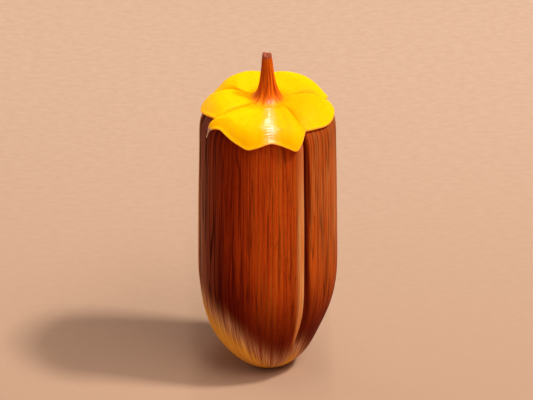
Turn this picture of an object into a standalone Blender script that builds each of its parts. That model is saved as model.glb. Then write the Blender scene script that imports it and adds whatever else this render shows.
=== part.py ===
"""A ripe nut that stands on its tip: a woody shell with three seams, five yellow petals
over its crown, and the stalk that it hung from. Metres, +Z up, front towards -Y.

Azimuths are in degrees from the front towards the right. A petal's lines are drawn on the
crown by azimuth, by reach, which is the distance over the crown from its middle, and by
lift off the shell, both in millimetres."""

import math

import bmesh
import bpy
import numpy as np

MM = 0.001
WELD = 0.001 * MM

# Shell, from the flat spot at its foot up to its crown
BELLY_R = 11.45 * MM
NECK_R = 11.2 * MM
FOOT_R = 2.8 * MM
BASE_H = 19.6 * MM
NECK_Z = 40.0 * MM
CROWN_Z = 48.2 * MM
CROWN_FLATNESS = 3.0
CROWN_SQUARENESS = 4.4
SHELL_SIDES = 72
SEGMENTS = 3
SEGMENT_BULGE = 0.009

# The base leans a little to the left between the foot and the belly
BASE_LEAN = -0.45 * MM
LEAN_Z = 7.0 * MM
LEAN_SPREAD = 4.5 * MM

# Seams between the shell's segments, each a raised lip with a groove at its right
SEAM_AZIMUTH = 33.5
SEAM_CROWDING = 0.72
LIP_AZIMUTH, LIP_HALF_WIDTH, LIP_HEIGHT = -3.8, 3.6, 0.13 * MM
GROOVE_AZIMUTH, GROOVE_HALF_WIDTH, GROOVE_DEPTH = 2.4, 2.9, 0.95 * MM
SEAM_START = (5.5 * MM, 9.5 * MM)
SEAM_END = (45.5 * MM, 47.5 * MM)

# Petals, each an arched sheet that lies over the crown and hangs over its shoulder
PETAL_GAP = 0.3 * MM
PETAL_EDGE = 0.62 * MM
PETAL_PUFF = 0.35 * MM
PETAL_GRID = (15, 9)
FRONT_GRID = (30, 11)
CREASE_GAP = 0.32 * MM
ROOT = 3.3

# Creases, where two petals meet, from root to rim
FRONT_RIGHT = ((43, ROOT, 0), (40, 4.6, 0), (36, 6.1, 0), (34, 7.8, 0), (34, 9.0, 0), (36, 10.2, 0))
RIGHT_BACK = ((98, ROOT, 0), (101, 4.5, 0.1), (102, 6.1, 0.1), (100, 7.6, 0), (100, 9.0, 0))
BACK = ((180, ROOT, 0), (180, 4.8, 0.4), (180, 6.6, 0.8), (180, 8.4, 0.6), (180, 9.8, 0.1))
LEFT_BACK = ((251, ROOT, 0), (246, 4.6, 0.1), (243, 6.0, 0.1), (243, 7.6, 0), (241, 9.4, 0))
FRONT_LEFT = ((307, ROOT, 0), (307, 5.2, 0), (306, 7.0, 0), (304, 8.4, 0), (302, 9.5, 0))

# The front petal's tail and its rim, which has a point on each side of a shallow arch
TAIL = ((-59, 10.6, 0), (-60, 11.7, 0), (-60.5, 12.9, 0))
FRONT_RIM = (
    (-57, 11.6), (-52, 10.9), (-46, 10.5), (-39, 10.8), (-31, 11.3), (-23, 11.8), (-16, 12.2),
    (-8, 11.8), (2, 11.2), (10, 11.5), (17, 12.1), (24, 12.7), (29, 11.8), (33, 10.8),
)
FRONT_ARCH = 0.5

# The other petals: name, the creases at their left and right, arch, and the rim between
OTHER_PETALS = (
    ("petal_right", FRONT_RIGHT, RIGHT_BACK, 0.4,
     ((49, 10.5), (60, 10.8), (70, 10.8), (80, 10.5), (90, 10.1), (96, 9.7))),
    ("petal_back_right", RIGHT_BACK, BACK, 1.1,
     ((108, 9.9), (122, 10.5), (140, 10.8), (158, 10.7), (170, 10.3))),
    ("petal_back_left", BACK, LEFT_BACK, 1.1,
     ((189, 10.3), (200, 10.6), (213, 10.7), (226, 10.5), (235, 10.0))),
    ("petal_left", LEFT_BACK, FRONT_LEFT, 0.4,
     ((249, 10.2), (260, 10.5), (270, 10.6), (280, 10.3), (290, 9.9), (297, 9.6))),
)

# Stalk, by radius and rise above its base: a collar that the petals' roots surround, a flare
# and a tapered shaft
STALK_BASE_Z = CROWN_Z + PETAL_GAP
STALK_TOP_Z = 57.15 * MM
STALK_OUTLINE = (
    (2.8, 0), (3.0, 0.12), (3.0, 0.5), (2.62, 0.72), (2.15, 1.2), (1.84, 1.9), (1.58, 2.8),
    (1.36, 3.9), (1.1, 5.3), (0.92, 6.6), (0.8, 7.8), (0.76, 8.35),
)
STALK_CUT = (0.68 * MM, 0.35 * MM)
STALK_SIDES = 36
STALK_RIBS = 9
STALK_RIB_DEPTH = 0.05
STALK_LEAN = -0.22 * MM
STALK_SPLIT = 0.28 * MM


def smooth_step(low, high, value):
    """0 below low, 1 above high, and a smooth rise between them."""
    share = min(1.0, max(0.0, (value - low) / (high - low)))
    return share * share * (3 - 2 * share)


def belly_z():
    """Height of the shell's widest ring above the flat spot."""
    return BASE_H * math.sqrt(1 - (FOOT_R / BELLY_R) ** 2)


def base_arc(steps):
    """Radius and height up the egg-shaped base, from the flat spot's edge to the belly."""
    for angle in np.linspace(math.acos(FOOT_R / BELLY_R), 0, steps):
        yield BELLY_R * math.cos(angle), belly_z() - BASE_H * math.sin(angle)


def barrel_arc(steps):
    """Radius and height up the barrel, which narrows a little towards the neck."""
    for share in np.linspace(0, 1, steps):
        radius = BELLY_R - (BELLY_R - NECK_R) * share**2
        yield radius, belly_z() + (NECK_Z - belly_z()) * share


def crown_arc(steps):
    """Radius and height over the rounded crown, from the neck to its middle."""
    for angle in np.linspace(0, math.pi / 2, steps):
        radius = NECK_R * max(math.cos(angle), 0.0) ** (2 / CROWN_FLATNESS)
        rise = math.sin(angle) ** (2 / CROWN_SQUARENESS)
        yield radius, NECK_Z + (CROWN_Z - NECK_Z) * rise


def crown_reach(steps=240):
    """The distance over the crown from its middle, with the radius and height there."""
    points = [*barrel_arc(steps), *list(crown_arc(steps))[1:]]
    line = np.array(points[::-1])
    lengths = np.hypot(*np.diff(line, axis=0).T)
    return np.concatenate([[0], np.cumsum(lengths)]), line[:, 0], line[:, 1]


REACH, REACH_R, REACH_Z = crown_reach()


def from_seam(azimuth):
    """Azimuth from the nearest seam, positive to its right."""
    spacing = 360 / SEGMENTS
    return (azimuth - SEAM_AZIMUTH + spacing / 2) % spacing - spacing / 2


def bulge(azimuth):
    """How far the shell's segments swell out between the seams, as a share of the radius."""
    return -SEGMENT_BULGE * math.cos(math.radians(SEGMENTS * from_seam(azimuth)))


def seam_relief(azimuth, z):
    """Height of a seam's lip, less the depth of its groove, at a place on the shell."""
    lip = math.exp(-(((from_seam(azimuth) - LIP_AZIMUTH) / LIP_HALF_WIDTH) ** 4))
    groove = math.exp(-(((from_seam(azimuth) - GROOVE_AZIMUTH) / GROOVE_HALF_WIDTH) ** 4))
    strength = smooth_step(*SEAM_START, z) * (1 - smooth_step(*SEAM_END, z))
    return strength * (LIP_HEIGHT * lip - GROOVE_DEPTH * groove)


def crowd(azimuth):
    """Moves an even azimuth towards the nearest seam, so that more points fall on its relief."""
    turn = math.radians(SEGMENTS * from_seam(azimuth))
    return azimuth - SEAM_CROWDING * math.degrees(math.sin(turn)) / SEGMENTS


def around(radius, azimuth, z, lean=0.0):
    """The point at a radius, azimuth and height round an axis that leans to the right."""
    turn = math.radians(azimuth)
    return (radius * math.sin(turn) + lean, -radius * math.cos(turn), z)


def azimuth_of(point):
    """The azimuth of a point round the upright axis."""
    return math.degrees(math.atan2(point.x, -point.y)) % 360


def over_crown(azimuth, reach, height):
    """The point that stands at a height off the crown at an azimuth and reach."""
    step = 0.02 * MM
    near, far = reach - step, reach + step
    along_r = np.interp(far, REACH, REACH_R) - np.interp(near, REACH, REACH_R)
    along_z = np.interp(far, REACH, REACH_Z) - np.interp(near, REACH, REACH_Z)
    length = math.hypot(along_r, along_z)
    radius = np.interp(reach, REACH, REACH_R) * (1 + bulge(azimuth))
    z = np.interp(reach, REACH, REACH_Z)
    return around(radius - height * along_z / length, azimuth, z + height * along_r / length)


def material(name, colour, roughness):
    """A plain surface of one colour."""
    made = bpy.data.materials.new(name)
    made.use_nodes = True
    shader = made.node_tree.nodes["Principled BSDF"]
    shader.inputs["Base Color"].default_value = (*colour, 1)
    shader.inputs["Roughness"].default_value = roughness
    shader.inputs["Metallic"].default_value = 0
    return made


def add_object(name, shape, surface):
    """A named object from a finished bmesh, shaded smooth."""
    bmesh.ops.recalc_face_normals(shape, faces=shape.faces)
    if shape.calc_volume(signed=True) < 0:
        bmesh.ops.reverse_faces(shape, faces=shape.faces)
    mesh = bpy.data.meshes.new(name)
    shape.to_mesh(mesh)
    shape.free()
    mesh.materials.append(surface)
    mesh.shade_smooth()
    mesh.set_sharp_from_angle(angle=math.radians(50))
    made = bpy.data.objects.new(name, mesh)
    bpy.context.scene.collection.objects.link(made)
    return made


def turned(outline, sides):
    """A round solid turned from an outline of radius and height that has a flat end each way."""
    shape = bmesh.new()
    closed = [(0, outline[0][1]), *outline, (0, outline[-1][1])]
    points = [shape.verts.new((radius, 0, z)) for radius, z in closed]
    edges = [shape.edges.new(pair) for pair in zip(points, points[1:])]
    bmesh.ops.spin(
        shape,
        geom=points + edges,
        cent=(0, 0, 0),
        axis=(0, 0, 1),
        angle=math.tau,
        steps=sides,
        use_merge=True,
    )
    bmesh.ops.remove_doubles(shape, verts=shape.verts, dist=WELD)
    return shape


def shell_point(point):
    """Where a point of the round shell moves, to give it its segments, seams and lean."""
    azimuth, z = crowd(azimuth_of(point)), point.z
    radius = math.hypot(point.x, point.y)
    if radius < FOOT_R - WELD:
        return around(radius, azimuth, z)
    swell = smooth_step(0, belly_z(), z) * bulge(azimuth)
    away = 1 - math.exp(-((z / LEAN_SPREAD) ** 2))
    lean = BASE_LEAN * away * math.exp(-(((z - LEAN_Z) / LEAN_SPREAD) ** 2))
    return around(radius * (1 + swell) + seam_relief(azimuth, z), azimuth, z, lean)


def make_shell(surface):
    """The woody shell, from the flat spot that it rests on to its crown."""
    crown = list(crown_arc(15))[1:-1]
    shape = turned([*base_arc(15), *list(barrel_arc(8))[1:], *crown], SHELL_SIDES)
    for corner in shape.verts:
        corner.co = shell_point(corner.co)
    return add_object("nut_shell", shape, surface)


def through(points, share):
    """The point at a share of the way along the smooth curve through the given points."""
    points = np.array(points, float)
    before, after = 2 * points[0] - points[1], 2 * points[-1] - points[-2]
    padded = np.vstack([before, points, after])
    place = min(share * (len(points) - 1), len(points) - 1 - WELD)
    i, t = int(place), place - int(place)
    a, b, c, d = padded[i : i + 4]
    bend = (2 * a - 5 * b + 4 * c - d) * t**2 + (3 * b - a - 3 * c + d) * t**3
    return b + ((c - a) * t + bend) / 2


def within(left, right, rim, u, v):
    """Azimuth, reach and lift at u across a petal and v from its root to its rim, blended from
    the petal's edges."""
    root = [left[0], right[0]]
    sides = (1 - u) * through(left, v) + u * through(right, v)
    ends = (1 - v) * through(root, u) + v * through(rim, u)
    low = (1 - u) * np.array(left[0]) + u * np.array(right[0])
    high = (1 - u) * np.array(rim[0]) + u * np.array(rim[-1])
    return sides + ends - (1 - v) * low - v * high


def petal_point(outline, arch, place):
    """Where a point of the flat unit plate moves: x is its share of the way across the petal, y
    from root to rim, and z from the underside to the upper side."""
    u, v, thick = place
    azimuth, reach, lift = within(*outline, u, v)
    rise = smooth_step(0.05, 0.5, v) * (1 - smooth_step(0.6, 1, v))
    swell = rise * max(4 * u * (1 - u), 0) ** 0.55
    height = PETAL_GAP + (lift + arch * swell) * MM + thick * (PETAL_EDGE + PETAL_PUFF * swell)
    return over_crown(azimuth, reach * MM, height)


def make_petal(name, outline, arch, grid, surface):
    """One petal, bent from a plate onto the crown. Its outline holds its left and right edges
    from root to rim, and its rim from left to right. Its arch lifts its middle, in millimetres."""
    across, along = grid
    shape = bmesh.new()
    bmesh.ops.create_grid(shape, x_segments=across, y_segments=along, size=0.5)
    bmesh.ops.translate(shape, verts=shape.verts, vec=(0.5, 0.5, 0))
    sheet = bmesh.ops.extrude_face_region(shape, geom=shape.faces)["geom"]
    raised = [part for part in sheet if isinstance(part, bmesh.types.BMVert)]
    bmesh.ops.translate(shape, verts=raised, vec=(0, 0, 1))
    for corner in shape.verts:
        corner.co = petal_point(outline, arch, corner.co)
    return add_object(name, shape, surface)


def gap_angle(reach):
    """Half of the gap between two petals as an angle at a reach."""
    return math.degrees(CREASE_GAP / 2 / np.interp(reach * MM, REACH, REACH_R))


def beside(crease, side, turn=0):
    """A petal's edge along a crease: at the crease's right for side 1, and its left for -1."""
    return [
        (azimuth + turn + side * gap_angle(reach), reach, lift) for azimuth, reach, lift in crease
    ]


def outline_of(left, right, rim):
    """A petal's outline: its left and right edges, and its rim between their ends."""
    return left, right, [left[-1], *((azimuth, reach, 0) for azimuth, reach in rim), right[-1]]


def make_petals(surface):
    """The five petals, of which the front one is the widest and has a tail at its left."""
    left = [*beside(FRONT_LEFT, 1, turn=-360), *TAIL]
    outline = outline_of(left, beside(FRONT_RIGHT, -1), FRONT_RIM)
    make_petal("petal_front", outline, FRONT_ARCH, FRONT_GRID, surface)
    for name, at_left, at_right, arch, rim in OTHER_PETALS:
        outline = outline_of(beside(at_left, 1), beside(at_right, -1), rim)
        make_petal(name, outline, arch, PETAL_GRID, surface)


def stalk_point(point):
    """Where a point of the round stalk moves, to give it its ribs, its lean and its split end."""
    azimuth = azimuth_of(point)
    ribbed = STALK_RIB_DEPTH * smooth_step(STALK_BASE_Z, STALK_BASE_Z + 1.2 * MM, point.z)
    radius = math.hypot(point.x, point.y)
    radius *= 1 + ribbed * math.cos(math.radians(STALK_RIBS * azimuth))
    up = smooth_step(STALK_BASE_Z, STALK_TOP_Z, point.z)
    split = 0.0
    if point.z > STALK_TOP_Z - WELD:
        split = STALK_SPLIT * abs(math.cos(math.radians(azimuth))) ** 3
    return around(radius, azimuth, point.z - split, STALK_LEAN * up**2)


def make_stalk(surface):
    """The ribbed stalk: a collar that stands on the crown, and a tapered shaft above it."""
    side = [(radius * MM, STALK_BASE_Z + rise * MM) for radius, rise in STALK_OUTLINE]
    shape = turned([*side, *((radius, STALK_TOP_Z) for radius in STALK_CUT)], STALK_SIDES)
    for corner in shape.verts:
        corner.co = stalk_point(corner.co)
    return add_object("stalk", shape, surface)


def main():
    """Builds the nut in an emptied scene."""
    for old in list(bpy.data.objects):
        bpy.data.objects.remove(old)
    make_shell(material("shell_wood", (0.27, 0.055, 0.014), 0.45))
    make_petals(material("petal_yellow", (0.95, 0.64, 0.01), 0.4))
    make_stalk(material("stalk_brown", (0.42, 0.1, 0.02), 0.55))


main()
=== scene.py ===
"""The looks of a ripe nut that stands on its golden tip: a streaked woody shell with three seams,
five waxy yellow petals over its crown, and the ribbed stalk that it hung from.

Azimuths are in degrees from the front towards the right. A petal's lines are drawn on the
crown by azimuth, by reach, which is the distance over the crown from its middle, and by
lift off the shell, both in millimetres."""

import logging
import math
from dataclasses import dataclass
from enum import Enum
from functools import partialmethod
from typing import Any, Sequence

import bpy
import numpy as np
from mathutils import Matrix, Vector


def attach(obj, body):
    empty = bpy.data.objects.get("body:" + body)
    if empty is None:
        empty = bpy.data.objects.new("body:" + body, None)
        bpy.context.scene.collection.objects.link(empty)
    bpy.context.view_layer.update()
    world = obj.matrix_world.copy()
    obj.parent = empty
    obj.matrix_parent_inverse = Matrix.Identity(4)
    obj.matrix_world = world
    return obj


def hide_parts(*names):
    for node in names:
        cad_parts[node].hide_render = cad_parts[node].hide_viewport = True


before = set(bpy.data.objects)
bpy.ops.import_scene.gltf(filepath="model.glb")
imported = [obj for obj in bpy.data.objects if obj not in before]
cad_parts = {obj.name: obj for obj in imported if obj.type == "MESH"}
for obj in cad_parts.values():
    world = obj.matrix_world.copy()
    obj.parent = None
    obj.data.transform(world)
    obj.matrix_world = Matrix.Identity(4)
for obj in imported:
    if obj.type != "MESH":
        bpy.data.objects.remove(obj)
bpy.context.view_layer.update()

MM = 0.001
PETAL_GLOW_STRENGTH = 0.38
LOG = logging.getLogger("nut")

Colour = tuple[float, float, float]
Line = Sequence[tuple[float, float, float]]
Profile = Sequence[tuple[float, float]]
Span = tuple[float, float, float, float]
Layer = tuple[Any, Any]


def smooth_step(low: float, high: float, value: Any) -> Any:
    """Rises smoothly from 0 to 1.

    Args:
        low: Where the rise begins.
        high: Where the rise ends.
        value: A number or an array.

    Returns:
        0 below low, 1 above high, and a smooth rise between them.
    """
    share = np.clip((value - low) / (high - low), 0.0, 1.0)
    return share * share * (3 - 2 * share)


def round_points(azimuth: Any, radius: Any, z: Any, aside: Any = 0.0) -> np.ndarray:
    """Points round an upright line, one a row.

    Args:
        azimuth: In degrees.
        radius: Distance from the line.
        z: Height.
        aside: How far to the right the line is.

    Returns:
        The points.
    """
    turn = np.radians(azimuth)
    return np.stack([radius * np.sin(turn) + aside, -radius * np.cos(turn), z], axis=1)


@dataclass(frozen=True)
class Grain:
    """A seeded, smooth random field that runs round a piece and up it.

    Attributes:
        around: How many cells go round the piece.
        up: How many cells go up it.
        seed: The seed of its random values.
    """

    around: int
    up: int
    seed: int

    def __call__(self, turn: np.ndarray, rise: np.ndarray) -> np.ndarray:
        """Reads the field.

        Args:
            turn: Share of the way round, which may be any number.
            rise: Share of the way up, from 0 to 1.

        Returns:
            Values from -1 to 1.
        """
        values = np.random.default_rng(self.seed).uniform(-1, 1, (self.around, self.up + 1))
        column, row = np.mod(turn, 1) * self.around, np.clip(rise, 0, 1) * self.up
        left, low = np.floor(column).astype(int), np.minimum(np.floor(row).astype(int), self.up - 1)
        across, along = smooth_step(0, 1, column - left), smooth_step(0, 1, row - low)
        right = (left + 1) % self.around
        left = left % self.around
        bottom = values[left, low] * (1 - across) + values[right, low] * across
        top = values[left, low + 1] * (1 - across) + values[right, low + 1] * across
        return bottom * (1 - along) + top * along


@dataclass(frozen=True)
class Signal:
    """A shader socket that takes part in Python expressions.

    Attributes:
        bench: The bench that the socket's node stands on.
        socket: The output socket.
    """

    bench: "Bench"
    socket: bpy.types.NodeSocket

    def _maths(self, operation: str, *others: Any) -> "Signal":
        """Adds a Math node of an operation on this value and others."""
        inputs = dict(enumerate((self, *others)))
        return self.bench.node("ShaderNodeMath", {"operation": operation}, inputs)

    # Each of these adds one Math node. wrapped takes the high limit, then the low one.
    __add__ = __radd__ = partialmethod(_maths, "ADD")
    __mul__ = __rmul__ = partialmethod(_maths, "MULTIPLY")
    __sub__ = partialmethod(_maths, "SUBTRACT")
    __truediv__ = partialmethod(_maths, "DIVIDE")
    __pow__ = partialmethod(_maths, "POWER")
    __abs__ = partialmethod(_maths, "ABSOLUTE")
    least = partialmethod(_maths, "MINIMUM")
    wrapped = partialmethod(_maths, "WRAP")
    arctan2 = partialmethod(_maths, "ARCTAN2")

    def __rsub__(self, other: Any) -> "Signal":
        """Another value less this one."""
        return self.bench.node("ShaderNodeMath", {"operation": "SUBTRACT"}, {0: other, 1: self})

    def rise(self, low: float, high: float) -> "Signal":
        """A smooth rise from 0 where this value is low to 1 where it is high."""
        return self.bench.node(
            "ShaderNodeMapRange",
            {"interpolation_type": "SMOOTHSTEP", "clamp": True},
            {"Value": self, "From Min": low, "From Max": high},
        )

    def near(self, middle: float, core: float, end: float) -> "Signal":
        """1 within core of a middle value, and a smooth fall to 0 at end from it."""
        return 1 - abs(self - middle).rise(core, end)

    def within(self, span: Span) -> "Signal":
        """A smooth rise between a span's first two values and fall between its last two."""
        return self.rise(*span[:2]) * (1 - self.rise(*span[2:]))


class Bench:
    """Where one material's nodes are put together.

    Attributes:
        material: The material that the nodes belong to.
        shader: Its Principled shader.
    """

    def __init__(self, name: str) -> None:
        """Starts a material with its Principled shader.

        Args:
            name: The material's name.
        """
        self.material = bpy.data.materials.new(name)
        self.material.use_nodes = True
        self.tree = self.material.node_tree
        self.shader = self.tree.nodes["Principled BSDF"]

    def node(
        self, kind: str, settings: dict[str, Any], inputs: dict[Any, Any], output: Any = 0
    ) -> Signal:
        """Adds one node.

        Args:
            kind: The node's type.
            settings: Its settings, which are set first.
            inputs: Values or signals by socket name or number.
            output: The name or number of the socket to return.

        Returns:
            The node's output as a signal.
        """
        made = self.tree.nodes.new(kind)
        for name, value in settings.items():
            if name == "stops":
                self._set_stops(made.color_ramp, value)
            elif name == "ramp_interpolation":
                made.color_ramp.interpolation = value
            else:
                setattr(made, name, value)
        for name, value in inputs.items():
            self.plug(made.inputs[name], value)
        return Signal(self, made.outputs[output])

    def plug(self, socket: bpy.types.NodeSocket, value: Any) -> None:
        """Links or sets a socket.

        Args:
            socket: The input socket.
            value: A signal, a tone or a plain value.
        """
        if isinstance(value, Signal):
            self.tree.links.new(value.socket, socket)
        else:
            socket.default_value = (*value.value, 1) if isinstance(value, Tone) else value

    @staticmethod
    def _set_stops(ramp: bpy.types.ColorRamp, stops: Sequence[tuple[float, Any]]) -> None:
        """Gives a colour ramp its stops, each a position with a tone or a grey level."""
        for _ in range(len(stops) - 2):
            ramp.elements.new(0.5)
        for element, (position, value) in zip(ramp.elements, stops):
            colour = value.value if isinstance(value, Tone) else (value,) * 3
            element.position = position
            element.color = (*colour, 1)

    def place(self) -> Signal:
        """The point of the surface in millimetres."""
        point = self.node("ShaderNodeTexCoord", {}, {}, "Object")
        return self.scaled(point, (1 / MM,) * 3)

    def attribute(self, name: str) -> Signal:
        """A vector attribute of the piece's own."""
        settings = {"attribute_type": "GEOMETRY", "attribute_name": name}
        return self.node("ShaderNodeAttribute", settings, {}, "Vector")

    def scaled(self, vector: Signal, factors: Sequence[float]) -> Signal:
        """A vector stretched along each axis."""
        settings = {"operation": "MULTIPLY"}
        return self.node("ShaderNodeVectorMath", settings, {0: vector, 1: tuple(factors)})

    def parts(self, vector: Signal) -> tuple[Signal, Signal, Signal]:
        """The three numbers of a vector."""
        split = self.node("ShaderNodeSeparateXYZ", {}, {"Vector": vector}).socket.node
        return tuple(Signal(self, split.outputs[axis]) for axis in "XYZ")

    def joined(self, x: Any, y: Any, z: Any) -> Signal:
        """A vector of three numbers."""
        return self.node("ShaderNodeCombineXYZ", {}, {"X": x, "Y": y, "Z": z})

    def noise(self, vector: Signal, detail: float = 3.0, rough: float = 0.55) -> Signal:
        """Smooth noise of about one cell to a unit, from 0 to 1."""
        inputs = {"Vector": vector, "Scale": 1.0, "Detail": detail, "Roughness": rough}
        return self.node("ShaderNodeTexNoise", {}, inputs)

    def mix(self, share: Any, first: Any, second: Any) -> Signal:
        """A colour between two.

        Args:
            share: How much of the second colour there is.
            first: A tone or a signal.
            second: A tone or a signal.

        Returns:
            The mixed colour.
        """
        made = self.tree.nodes.new("ShaderNodeMix")
        made.data_type = "RGBA"
        sockets = {entry.identifier: entry for entry in (*made.inputs, *made.outputs)}
        for name, value in (("Factor_Float", share), ("A_Color", first), ("B_Color", second)):
            self.plug(sockets[name], value)
        return Signal(self, sockets["Result_Color"])

    def layered(self, base: Any, *layers: Layer) -> Signal:
        """Lays colours over a base, one after another.

        Args:
            base: A tone or a signal.
            layers: For each, how much of it shows, and its tone or signal.

        Returns:
            The colour with all its layers.
        """
        for share, tone in layers:
            base = self.mix(share, base, tone)
        return base

    def feed(self, **sockets: Any) -> None:
        """Sets or links the shader's sockets, named with underscores for spaces."""
        for name, value in sockets.items():
            self.plug(self.shader.inputs[name.replace("_", " ")], value)

    def bump(self, height: Signal, depth: float) -> None:
        """Presses a height into the surface's light.

        Args:
            height: From 0 to 1.
            depth: How deep it is at 1, in metres.
        """
        inputs = {"Height": height, "Distance": depth, "Strength": 1.0}
        self.feed(Normal=self.node("ShaderNodeBump", {}, inputs, "Normal"))


class Bearings:
    """Where the points of an upright, round piece are, in millimetres.

    Attributes:
        x: Distance to the right.
        z: Height.
        radius: Distance from the middle line.
        right: Share of that distance that is to the right.
        back: Share of that distance that is to the back.
    """

    NEVER_ZERO = 0.01

    def __init__(self, bench: Bench) -> None:
        """Takes the bearings.

        Args:
            bench: The bench of the piece's material.
        """
        self.bench = bench
        self.x, y, self.z = bench.parts(bench.place())
        self.radius = (self.x * self.x + y * y + self.NEVER_ZERO) ** 0.5
        self.right, self.back = self.x / self.radius, y / self.radius

    def azimuth(self) -> Signal:
        """Degrees from the front towards the right."""
        return self.right.arctan2(-1 * self.back) * math.degrees(1)

    def streaks(
        self, fineness: float, length: float, detail: float = 1.0, rough: float = 0.5
    ) -> Signal:
        """Noise drawn out up the piece.

        Args:
            fineness: How many cells fit in the piece's radius.
            length: How many cells there are to a millimetre of height.
            detail: How many finer layers the noise has.
            rough: How strong they are.

        Returns:
            The noise, from 0 to 1.
        """
        around = (self.right * fineness, self.back * fineness, self.z * length)
        return self.bench.noise(self.bench.joined(*around), detail, rough)


class Tone(Enum):
    """The colours of the nut, in linear light."""

    MAHOGANY_DARK = (0.075, 0.003, 0.001)
    MAHOGANY = (0.25, 0.019, 0.002)
    CHESTNUT = (0.60, 0.064, 0.005)
    RUSSET = (0.65, 0.135, 0.01)
    TAWNY = (0.34, 0.105, 0.012)
    SHADED = (0.095, 0.003, 0.0005)
    GRIZZLED = (0.37, 0.085, 0.03)
    FURROW = (0.026, 0.002, 0.001)
    RIDGE = (0.70, 0.29, 0.095)
    # painted shade, for the seams' grooves and beside the front ridge
    GROOVE = (0.07, 0.0016, 0.0)
    GOLD = (1.0, 0.51, 0.07)
    GOLD_DEEP = (0.94, 0.43, 0.055)
    # dusty gold, also the colour of the painted rim light down the shell's left edge
    GOLD_DUSTY = (0.80, 0.44, 0.25)
    TAN_DEEP = (0.44, 0.17, 0.06)
    PETAL = (0.96, 0.43, 0.0)
    PETAL_WARM = (0.96, 0.32, 0.0)
    PETAL_ORANGE = (0.80, 0.13, 0.0)
    PETAL_RIM = (0.74, 0.24, 0.05)
    PETAL_TAIL = (0.80, 0.50, 0.44)
    PETAL_GLOW = (1.0, 0.45, 0.0)
    PETAL_LIGHT = (0.96, 0.50, 0.0)
    PETAL_BRIGHT = (0.98, 0.58, 0.0)
    PETAL_SHEEN = (1.0, 0.78, 0.38)
    PETAL_GLINT = (1.0, 0.95, 0.85)
    STALK_DARK = (0.34, 0.036, 0.001)
    STALK = (0.66, 0.112, 0.003)
    STALK_BRIGHT = (0.88, 0.19, 0.006)
    STALK_CUT = (0.33, 0.09, 0.06)
    FLOOR_NEAR = (0.455, 0.276, 0.178)
    FLOOR_FAR = (0.60, 0.395, 0.277)
    UNLIT = (0.0, 0.0, 0.0)


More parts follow.
